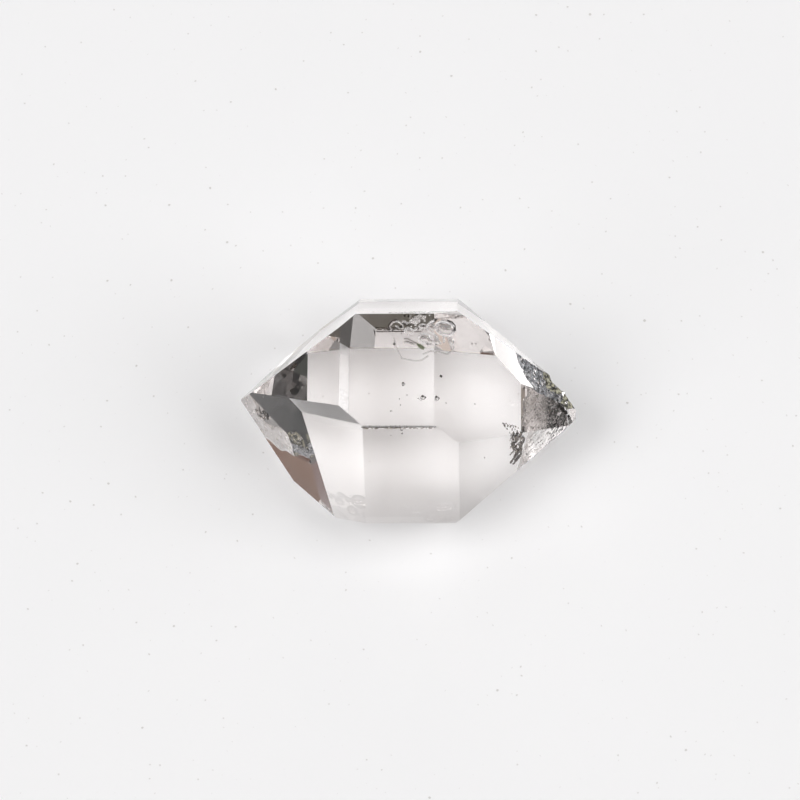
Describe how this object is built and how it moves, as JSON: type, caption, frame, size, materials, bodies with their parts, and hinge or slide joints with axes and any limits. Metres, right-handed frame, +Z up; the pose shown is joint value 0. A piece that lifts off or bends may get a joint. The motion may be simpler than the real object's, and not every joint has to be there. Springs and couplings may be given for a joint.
{
  "type": "herkimer diamond quartz crystal",
  "caption": "Clear doubly terminated quartz crystal with flat glassy faces, blunt chipped tips and a bruised edge, lying on one prism face.",
  "frame": {"origin": "on the resting surface, under the middle of the crystal's bounding box", "axes": "+X along the crystal's long axis towards its chipped tip, +Y to its back, +Z up from the prism face it rests on"},
  "size_m": [0.022, 0.0154, 0.0116],
  "materials": {
    "clear_quartz": "glassy, transparent, nearly colourless with a faint warm tint"
  },
  "bodies": {
    "root": {"quartz_crystal": "clear_quartz"}
  },
  "joints": []
}
